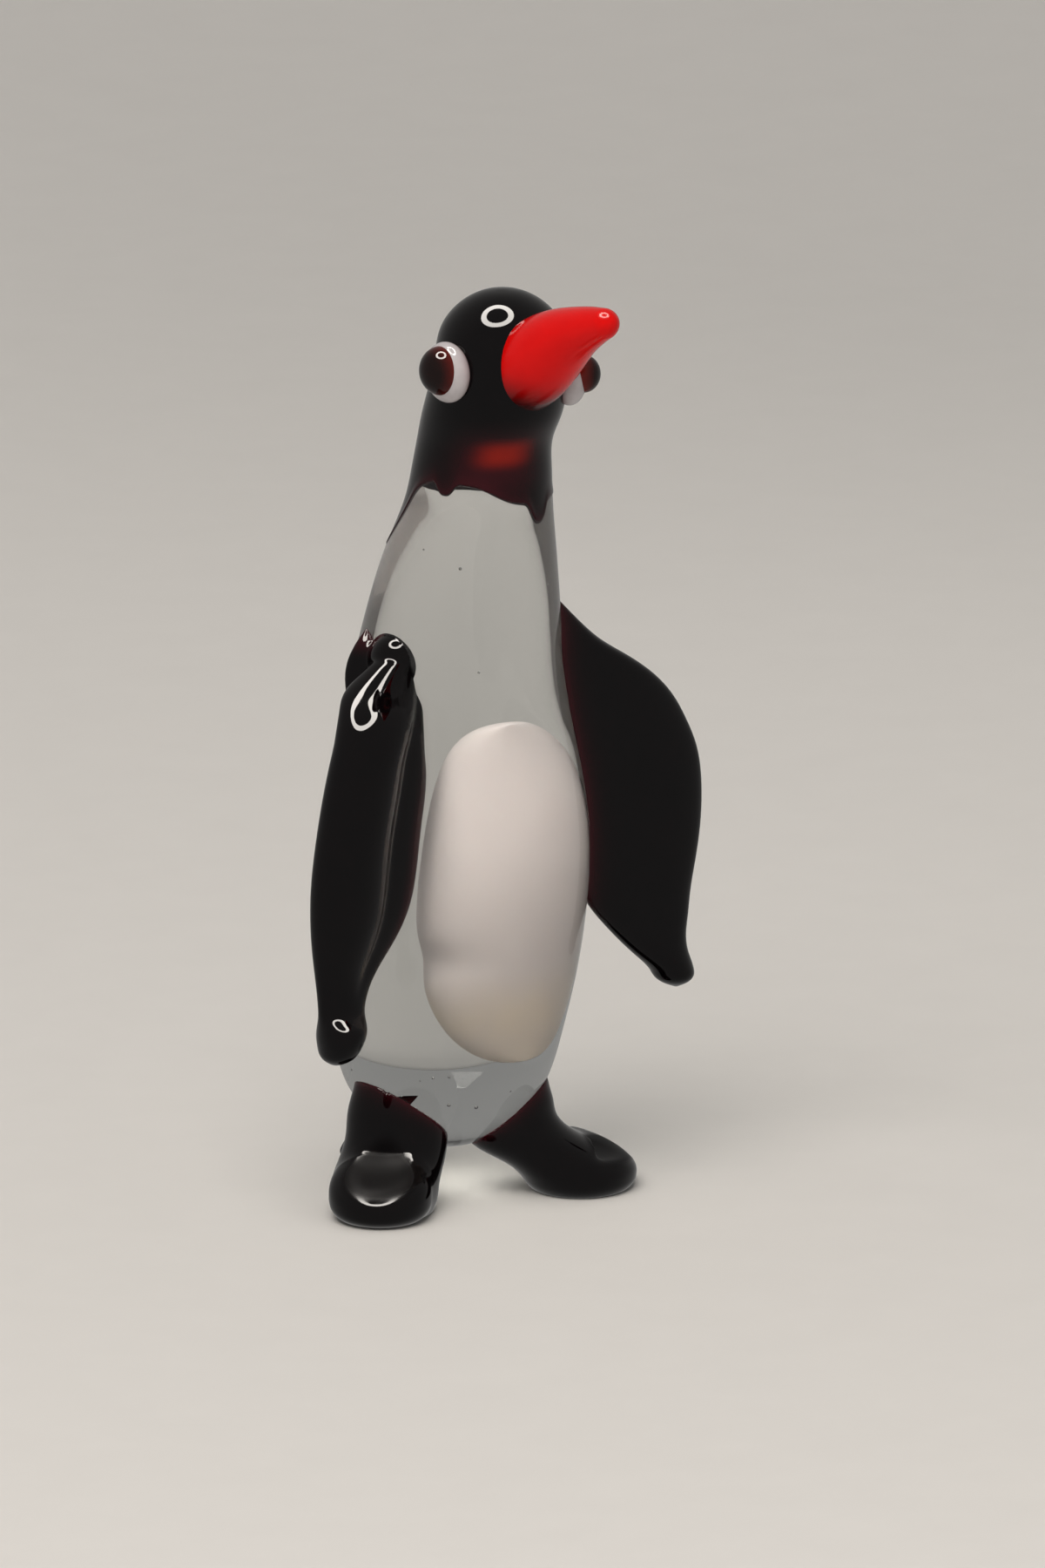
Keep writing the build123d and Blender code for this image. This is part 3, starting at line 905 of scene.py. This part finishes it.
def right_front(along, drop):
    """A rib that reaches the outer edge, melted with a flange over the whole chord; round at the tip."""
    middle = spline(rib_drops, rib_middles, drop[:, 0])
    half = spline(rib_drops, rib_halves, drop[:, 0])
    half = np.where(along < middle, 1 + middle, half)
    rib = oval_half((along - middle) / half)
    flange = flange_share * oval_half(along)
    both = (rib + flange + np.sqrt((rib - flange) ** 2 + crease_melt * rib * flange)) / 2
    round_end = ease((drop - right_round_from) / right_round_over)
    return both + (oval_half(along) - both) * round_end


def right_rear(along, drop):
    """The plain rear side, a little flatter, and round again at the tip."""
    round_end = ease((drop - right_round_from) / right_round_over)
    return oval_half(along) * (rear_share + (1 - rear_share) * round_end)


right_gather = make_wing(right_lines, right_turn, right_front, right_rear)
print("widest half chord:", right_lines[2].max().round(2), "mm")

# %% Knob and web
knob_middle, knob_radius = np.array([-6.55, -1.9, 41.8]), 2.2
knob = shell(knob_middle + knob_radius * ball_rings(60, 90), knob_middle + knob_radius * upward,
             knob_middle - knob_radius * upward)
# The web's chord lies square to the line of sight of the photograph
web_turn = -37.0
web_start = np.array([-7.4, 0.7, 44.0])
web_travel = (-2.5, -3.0, -8.0)
web_half_chord, web_half_thickness, web_steps = 1.5, 0.6, 90
web_shares = [
    (0.00, 0.00, 0.00, 0.08, 0.12), (0.05, 0.06, 0.05, 0.26, 0.42), (0.15, 0.18, 0.15, 0.60, 0.75),
    (0.35, 0.42, 0.37, 1.00, 1.00), (0.56, 0.61, 0.60, 1.00, 1.00), (0.80, 0.83, 0.83, 0.76, 0.90),
    (0.94, 0.95, 0.95, 0.42, 0.60), (1.00, 1.00, 1.00, 0.08, 0.12)]
web_lines = wing_lines(web_shares, web_start, web_travel, web_half_chord, web_half_thickness, web_steps)
web = make_wing(web_lines, web_turn, oval_half, oval_half)
print("web from", web_lines[1][0, 2].round(1), "down to", web_lines[1][-1, 2].round(1), "mm")

# %% One skin for gather, web and knob
skin_grain, smoothing_rounds = 0.11, 44


def fuse(shells, grain, rounds):
    """One skin round several shells that overlap, on a grid of a grain in mm, smoothed a few rounds."""
    points, faces = joined(shells)
    rough = bpy.data.meshes.new("rough_gather")
    rough.from_pydata(points.tolist(), [], faces)
    gather = bpy.data.objects.new("rough_gather", rough)
    bpy.context.scene.collection.objects.link(gather)
    skin = gather.modifiers.new("skin", "REMESH")
    skin.mode = "VOXEL"
    skin.voxel_size = grain
    melt_down = gather.modifiers.new("melt_down", "SMOOTH")
    melt_down.factor = 0.5
    melt_down.iterations = rounds
    finished = gather.evaluated_get(bpy.context.evaluated_depsgraph_get()).to_mesh()
    skin_points = np.empty(3 * len(finished.vertices))
    finished.vertices.foreach_get("co", skin_points)
    corners = np.empty(4 * len(finished.polygons), dtype=int)
    finished.loops.foreach_get("vertex_index", corners)
    gather.to_mesh_clear()
    bpy.data.objects.remove(gather)
    bpy.data.meshes.remove(rough)
    return skin_points.reshape(-1, 3), corners.reshape(-1, 4), np.empty((0, 3), dtype=int)


right_skin = seated(fuse([right_gather, web, knob], skin_grain, smoothing_rounds))
print("points on the fused skin:", len(right_skin[0]))

# %% Where the right wing is thin
# How far below the shoulder the maroon edge starts and ends, and beyond which share of the chord it is
maroon_top, maroon_bottom, maroon_fade, maroon_edge = 8.0, 26.0, 6.0, 0.62
# The thin peak at the back of the shoulder: how far down it ends, and how far in front it begins
peak_end, peak_fade, peak_front, peak_depth = 2.6, 2.0, 1.6, 0.8


def right_wing_thin(points):
    """Maroon along the inner edge, where the flange thins out beside the body, and at the shoulder."""
    fall = right_start[2] - points[:, 2]
    down = right_start[2] - right_lines[1][:, 2]
    middle = np.interp(fall, down, right_lines[1][:, 0])
    half = np.interp(fall, down, right_lines[2])
    along = (points[:, 0] - middle) / np.maximum(half, 0.3)
    edge = ease((along - maroon_edge) / (1 - maroon_edge))
    edge = edge * ease((fall - maroon_top) / maroon_fade) * ease((maroon_bottom - fall) / maroon_fade)
    peak = ease((peak_end - fall) / peak_fade) * ease((points[:, 1] + peak_front) / peak_depth)
    return 0.8 * edge + 0.9 * peak


add_piece("right_wing", [right_skin], black_glass, ["wing_right"],
          {"thin": right_wing_thin})

# %% [markdown]
# ## The left wing
# This paddle was pressed flat, so its sections are flat with round edges. It is thin at the root, where
# it lets a little maroon light through beside the belly. The rows of sections are made as before, with
# another rule for the thickness.

# %% Left wing
left_turn = -8.0
left_start = np.array([6.1, 0.0, 44.9])
left_travel = (9.4, -6.8, -30.4)
left_half_chord, left_half_thickness, left_tip_radius = 5.99, 1.1, 1.65
left_lines = wing_lines(left_shares, left_start, left_travel, left_half_chord,
                        left_half_thickness, wing_steps, left_tip_shares, left_tip_radius)
left_round_from, left_round_over = 0.82, 0.1
armpit_fade = 0.45


def paddle_half(along, drop):
    """A flat section with round edges: the root of one less the fourth power, and round at the tip."""
    flat = np.sqrt(np.clip(1 - along**4, 0, 1))
    round_end = ease((drop - left_round_from) / left_round_over)
    return flat + (oval_half(along) - flat) * round_end


def left_wing_thin(points):
    """Maroon close to the body, from the shoulder down to the armpit."""
    return 0.9 * np.exp(-np.maximum(-depth_in_form(points), 0) / armpit_fade)


left_skin = seated(make_wing(left_lines, left_turn, paddle_half, paddle_half))
add_piece("left_wing", [left_skin], black_glass, ["wing_left"], {"thin": left_wing_thin})

# %% [markdown]
# ## The feet
# A foot and its leg are one gather. The leg was drawn down from the belly, and the foot pressed flat
# with a tool, which left a shallow dish in its top and an instep that slopes down to the toes. The
# shape is given as a distance to its skin, in which leg and foot run into each other, and the skin is
# found along rays from a point in the heel. Two meshes would have left a hard line where they meet.

# %% A skin found along rays
halvings = 26


def skin_seen_from(heart, distance, reach, rows, around):
    """The place along each ray where the distance turns from inside to outside, by halving."""
    rays = ball_rings(rows, around)
    rays = np.concatenate([rays.reshape(-1, 3), [upward, -upward]])
    near, far = np.zeros(len(rays)), np.full(len(rays), reach)
    for _ in range(halvings):
        half = (near + far) / 2
        inside = distance(heart + rays * half[:, None]) < 0
        near, far = np.where(inside, half, near), np.where(inside, far, half)
    points = heart + rays * near[:, None]
    return shell(points[:-2].reshape(rows, around, 3), points[-2], points[-1])


tried = skin_seen_from(0 * upward, lambda points: np.linalg.norm(points, axis=-1) - 2, 5.0, 6, 8)[0]
print("a ball of 2 mm is found at", np.linalg.norm(tried, axis=-1).mean().round(4), "mm")

# %% Places and sizes of the feet
# Height share, along share and side share of the pad, length share, width share
right_leg_shares = [(1.100, -0.660, 0.100, 0.10, 0.12), (1.067, -0.660, 0.100, 0.50, 0.56),
                    (0.978, -0.620, 0.080, 0.78, 0.86), (0.778, -0.573, 0.082, 0.91, 0.98),
                    (0.556, -0.524, 0.095, 0.97, 1.04), (0.400, -0.463, 0.070, 1.00, 1.03),
                    (0.244, -0.378, 0.026, 1.00, 0.99), (0.111, -0.330, 0.020, 0.94, 0.94),
                    (0.000, -0.317, 0.013, 0.84, 0.88)]
left_leg_shares = [(1.080, -0.600, -0.100, 0.06, 0.10), (1.044, -0.600, -0.106, 0.35, 0.50),
                   (0.944, -0.610, -0.138, 0.60, 0.78), (0.778, -0.634, -0.149, 0.74, 0.91),
                   (0.611, -0.646, -0.150, 0.86, 0.97), (0.467, -0.530, -0.160, 0.99, 1.00),
                   (0.356, -0.360, -0.149, 1.07, 1.00), (0.244, -0.165, -0.117, 0.99, 1.03),
                   (0.133, -0.061, -0.064, 0.84, 1.09), (0.000, -0.012, -0.011, 0.72, 1.03)]
# Pad and leg are lengths and widths, dish is its middle and half length as shares of the pad's length,
# and the heel is the point from which the whole skin can be seen
feet = {
    "right": {"middle": (-9.33, -3.5, 0.0), "turn": -133.0, "pad": (8.2, 7.7), "leg": (6.4, 7.3),
              "leg_shares": right_leg_shares, "heel": (-2.4, 0.0, 1.5), "instep_rise": 1.4,
              "side_lean": 0.0, "dish": (0.13, 0.27)},
    "left": {"middle": (8.2, -4.9, 0.0), "turn": -40.0, "pad": (8.2, 9.4), "leg": (8.6, 6.4),
             "leg_shares": left_leg_shares, "heel": (-1.6, -0.6, 1.5), "instep_rise": 1.15,
             "side_lean": 0.8, "dish": (0.24, 0.21)},
}
print("pads of the feet:", {which: foot["pad"] for which, foot in feet.items()})

# %% Feet
leg_height, foot_thickness = 9.0, 2.4
pillow_power, pillow_middle, pillow_half_height = 2.6, 1.08, 1.36
# The instep climbs from the toes over this share of the pad
instep_end = 0.6
dish_width_share, dish_rise, dish_half_height = 0.33, 0.25, 0.42
# Widths over which leg and pad, pad and dish, and pad and floor run into each other
leg_melt, dish_melt, floor_melt = 1.4, 0.3, 0.12
# Millimetres that one unit of the pad's and of the dish's own measure stands for near the skin
pad_unit, dish_unit = 1.6, 0.6
foot_reach, foot_rows, around_foot, seam_fade = 16.0, 150, 220, 0.4
# Share by which the dull part is wider than the dish, where it ends, how high it starts, and its edge
pressed_margin, pressed_end, pressed_floor, pressed_fade = 0.02, 1.15, 1.6, 0.3


def make_foot(which, foot):
    """Leg ovals and a pillow-shaped pad, melted together, dished on top and cut by floor and body."""
    middle, turn = np.array(foot["middle"]), np.radians(foot["turn"])
    toe = np.array([np.cos(turn), np.sin(turn), 0.0])
    side = np.array([-toe[1], toe[0], 0.0])
    table = np.array(foot["leg_shares"])[::-1]
    pad_length, pad_width = foot["pad"]
    leg_length, leg_width = foot["leg"]
    dish_middle, dish_half = foot["dish"]

    def distance(points):
        """Less than zero inside the glass of the foot."""
        local = points - middle
        along, across, height = local @ toe, local @ side, local[:, 2]
        share = np.clip(height / leg_height, table[0, 0], table[-1, 0])
        back, aside, length, width = spline(table[:, 0], table[:, 1:], share).T
        length, width = leg_length / 2 * length, leg_width / 2 * width
        leg = np.hypot((along - pad_length * back) / length, (across - pad_width * aside) / width)
        leg = (leg - 1) * np.minimum(length, width)
        leg = np.maximum(leg, height - leg_height * table[-1, 0])
        level = np.hypot(along / (pad_length / 2), across / (pad_width / 2))
        lean = 1 - foot["side_lean"] * ease(0.5 - across / pad_width)
        slope = foot["instep_rise"] * np.clip(0.5 - along / pad_length, 0, instep_end)
        lowered = height / (1 + slope * lean)
        pillow = np.abs((lowered - pillow_middle) / pillow_half_height)
        pad = (level**pillow_power + pillow**pillow_power) ** (1 / pillow_power)
        both = melt(leg, (pad - 1) * pad_unit, leg_melt)
        dish = np.sqrt(((along / pad_length - dish_middle) / dish_half) ** 2
                       + (across / (pad_width * dish_width_share)) ** 2
                       + ((lowered - foot_thickness - dish_rise) / dish_half_height) ** 2)
        both = -melt(-both, (dish - 1) * dish_unit, dish_melt)
        both = np.maximum(both, depth_in_form(points) - contact_depth)
        return -melt(-both, points[:, 2], floor_melt)

    def thin(points):
        """Maroon along the seam where the leg thins out against the clear body."""
        return 0.95 * np.exp(-np.maximum(-depth_in_form(points), 0) / seam_fade)

    def pressed(points):
        """Dull in the dish."""
        local = points - middle
        along = (local @ toe / pad_length - dish_middle) / (dish_half + pressed_margin)
        across = local @ side / (pad_width * (dish_width_share + pressed_margin))
        inside = ease((pressed_end - np.hypot(along, across)) / pressed_fade)
        return inside * ease((points[:, 2] - pressed_floor) / pressed_fade)

    heart = middle + foot["heel"][0] * toe + foot["heel"][1] * side + foot["heel"][2] * upward
    skin = skin_seen_from(heart, distance, foot_reach, foot_rows, around_foot)
    add_piece(f"{which}_foot", [skin], pressed_glass, [f"foot_{which}"],
              {"thin": thin, "pressed": pressed})


for which, foot in feet.items():
    make_foot(which, foot)

# %% [markdown]
# ## The tail
# Behind, a short blunt gather reaches the floor and steadies the figure on three points. It could be
# a squashed ball, but level ovals down a leaning line stand flat on the floor and hug the body.

# %% Tail
# Height share, reach share, thickness share and width share
tail_shares = [(1.00, 0.50, 0.90, 0.80), (0.75, 0.68, 1.05, 0.94), (0.42, 0.86, 1.00, 1.00),
               (0.18, 0.95, 0.92, 0.98), (0.04, 0.99, 0.80, 0.90), (0.00, 1.00, 0.55, 0.66)]
tail_height, tail_reach, tail_aside, tail_half_width, tail_half_thickness = 8.6, 10.88, 0.5, 2.8, 1.5
tail_steps, around_tail, tail_fade = 80, 96, 0.6


def make_tail():
    """Level ovals down a line that leans back."""
    table = np.array(tail_shares)[::-1]
    share = np.linspace(0, 1, tail_steps)
    reach, thickness, width = spline(table[:, 0], table[:, 1:], share).T
    turn = np.linspace(0, 2 * np.pi, around_tail, endpoint=False)
    x = tail_aside + tail_half_width * width[:, None] * np.cos(turn)
    y = tail_reach * reach[:, None] + tail_half_thickness * thickness[:, None] * np.sin(turn)
    rings = np.stack([x, y, tail_height * share[:, None] + 0 * x], axis=-1)
    foot = np.array([tail_aside, tail_reach * reach[0], 0.0])
    top = np.array([tail_aside, tail_reach * reach[-1], tail_height])
    points, quads, fans = shell(rings, foot, top)
    return seat_on_form(points, contact_depth), quads, fans


def tail_thin(points):
    """Maroon where the tail thins out on the body."""
    return 0.8 * np.exp(-np.maximum(-depth_in_form(points), 0) / tail_fade)


add_piece("glass_tail", [make_tail()], black_glass, ["tail"], {"thin": tail_thin})

# %% [markdown]
# ## Floor
# The figure stands on a plain pale board. Mirror reflections leave the board out, because the black
# glass in the photograph shows no horizon.

# %% Floor
# Half of its width, in metres
floor_half = 3.0


def make_floor():
    """A matt pale board, with its paper grain drawn 6 mm coarse so that it shows."""
    material, tree, output = new_material("pale_matt_board")
    grain = speckle(tree, 6.0, 3.0)
    colour = layered(tree, "#d6d4d1", [(grain, "#dad8d5")])
    board = add(tree, "ShaderNodeBsdfPrincipled", {"Roughness": 0.7, "Specular IOR Level": 0.2},
                {"Base Color": colour})
    tree.links.new(board.outputs[0], output.inputs["Surface"])
    mesh = bpy.data.meshes.new("floor")
    corners = [(-floor_half, -floor_half, 0), (floor_half, -floor_half, 0),
               (floor_half, floor_half, 0), (-floor_half, floor_half, 0)]
    mesh.from_pydata(corners, [], [(0, 1, 2, 3)])
    mesh.materials.append(material)
    floor = bpy.data.objects.new("floor", mesh)
    bpy.context.scene.collection.objects.link(floor)
    floor.visible_glossy = False
    floor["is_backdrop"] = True


make_floor()
print("floor is", 2 * floor_half, "m across")

# %% [markdown]
# ## Light
# Soft light comes from all round and from one broad disc on the near side, high up. A ring-shaped lamp
# above the head makes the small bright rings on the crown, the wings and the eyes. It lights no matt
# surface, so it throws no second shadow, and the broad disc in turn is left out of mirror reflections,
# because the photograph shows only rings.

# %% Ring lamp and soft lamp
# Places and radii in metres, from the middle of the head
lamp_height, lamp_inner, lamp_outer = 0.42, 0.112, 0.176
lamp_aside, lamp_near, lamp_strength = -0.050, 0.040, 30.0
soft_distance, soft_inner, soft_outer, soft_strength = 1.20, 0.001, 0.52, 6.0
soft_side, soft_lift = np.radians(-18.0), np.radians(60.0)
lamp_corners = 96


def make_lamp(name, direction, distance, inner, outer, strength):
    """A flat glowing ring that faces the head: an inner and an outer circle about a direction."""
    turn = np.linspace(0, 2 * np.pi, lamp_corners, endpoint=False)[:, None]
    across = np.cross(direction, rightward)
    across = across / np.linalg.norm(across)
    circle = np.cos(turn) * across + np.sin(turn) * np.cross(direction, across)
    middle = (head_centre + axis) * MM + direction * distance
    points = np.concatenate([middle + inner * circle, middle + outer * circle])
    corner = np.arange(lamp_corners)
    beside = np.roll(corner, -1)
    faces = np.stack([corner, beside, beside + lamp_corners, corner + lamp_corners], axis=-1)
    mesh = bpy.data.meshes.new(name)
    mesh.from_pydata(points.tolist(), [], faces.tolist())
    material, tree, output = new_material(f"{name}_glow")
    glow = add(tree, "ShaderNodeEmission", {"Color": linear("#fff9f2"), "Strength": strength})
    tree.links.new(glow.outputs[0], output.inputs["Surface"])
    mesh.materials.append(material)
    lamp = bpy.data.objects.new(name, mesh)
    bpy.context.scene.collection.objects.link(lamp)
    lamp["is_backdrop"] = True
    return lamp


ring_place = lamp_height * upward + lamp_aside * rightward + lamp_near * nearward
ring_distance = np.linalg.norm(ring_place)
ring_lamp = make_lamp("ring_lamp", ring_place / ring_distance, ring_distance, lamp_inner, lamp_outer,
                      lamp_strength)
ring_lamp.visible_diffuse = False
soft_level = np.cos(soft_side) * nearward + np.sin(soft_side) * rightward
soft_direction = np.cos(soft_lift) * soft_level + np.sin(soft_lift) * upward
soft_lamp = make_lamp("soft_lamp", soft_direction, soft_distance, soft_inner, soft_outer, soft_strength)
soft_lamp.visible_glossy = False
print("ring lamp", round(ring_distance, 2), "m and soft lamp", soft_distance, "m from the head")

# %% The room's own light
world_strength = 0.36
world = bpy.data.worlds.new("soft_room")
world.use_nodes = True
world.node_tree.nodes["Background"].inputs["Color"].default_value = linear("#f4f2ef")
world.node_tree.nodes["Background"].inputs["Strength"].default_value = world_strength
bpy.context.scene.world = world
bpy.context.scene.view_settings.view_transform = "Standard"
print("strength of the room's light:", world_strength)

# %% [markdown]
# ## Camera
# The camera stands where the photograph was taken from, 37 degrees round and 14.5 degrees up. The sizes
# were measured as if all sight lines were parallel, so a very long lens looks from far away, and near
# and far parts keep their sizes.

# %% Camera
# Lens and sensor in millimetres, and how far away one millimetre of lens puts the camera
lens, sensor = 800.0, 36.0
distance_for_lens = 3.226
camera_lift = np.radians(14.5)
camera_distance = lens * distance_for_lens
aim = 5.16 * rightward + 31.0 * upward

camera = bpy.data.objects.new("camera", bpy.data.cameras.new("camera"))
camera.data.lens = lens
camera.data.sensor_width = sensor
camera.data.clip_start = 0.01
bpy.context.scene.collection.objects.link(camera)
sight = np.cos(camera_lift) * nearward + np.sin(camera_lift) * upward
camera.location = (aim + axis + camera_distance * sight) * MM
camera.rotation_euler = (np.pi / 2 - camera_lift, 0.0, -photo_turn)
bpy.context.scene.camera = camera
print("camera at", np.array(camera.location).round(3))

# %% [markdown]
# ## Sizes
# The box of what is shown now, the dressed figure without floor and lamps, is printed in millimetres.

# %% Size of the dressed figure
shown_low, shown_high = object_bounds()
spans = [round((high - low) / MM, 2) for low, high in zip(shown_low, shown_high)]
print("dressed size in mm:", spans)
